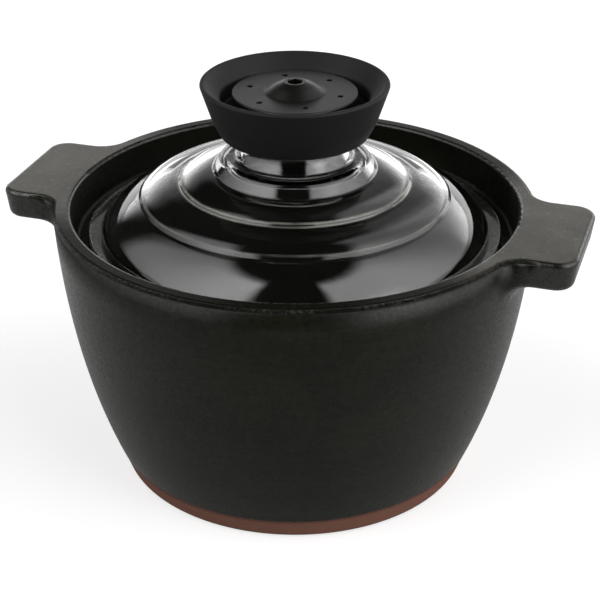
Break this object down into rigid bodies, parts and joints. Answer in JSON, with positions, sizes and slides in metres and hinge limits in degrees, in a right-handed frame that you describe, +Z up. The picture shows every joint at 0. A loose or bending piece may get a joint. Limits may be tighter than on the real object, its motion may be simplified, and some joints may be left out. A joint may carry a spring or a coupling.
{
  "type": "clay rice pot with glass lid",
  "caption": "Round black-glazed clay rice pot with flat ears, a stepped glass lid with a hollow neck, and a soft cup knob holding a steam whistle.",
  "frame": {"origin": "centre of the foot, on the surface that the pot stands on", "axes": "+X through the middle of one ear, +Z up through the neck and the knob"},
  "size_m": [0.2568, 0.211, 0.1786],
  "materials": {
    "pot_clay": "matte black glaze with a bare terracotta foot",
    "lid_glass": "clear pressed glass",
    "knob_silicone": "matte black silicone",
    "whistle_plastic": "satin dark grey",
    "whistle_steel": "bright sheet"
  },
  "bodies": {
    "pot": {"pot_body": "pot_clay"},
    "lid": {"glass_lid": "lid_glass"},
    "knob": {"knob_grip": "knob_silicone"},
    "whistle": {"whistle_cup": "whistle_plastic", "whistle_plate": "whistle_steel", "whistle_cap": "whistle_plastic"}
  },
  "joints": [
    {"name": "lid_lift", "type": "slide", "parent": "pot", "child": "lid", "axis": [0, 0, 1], "range_m": [0, 0.06]},
    {"name": "knob_pull", "type": "slide", "parent": "lid", "child": "knob", "axis": [0, 0, 1], "range_m": [0, 0.02]},
    {"name": "whistle_lift", "type": "slide", "parent": "knob", "child": "whistle", "axis": [0, 0, 1], "range_m": [0, 0.02]}
  ]
}
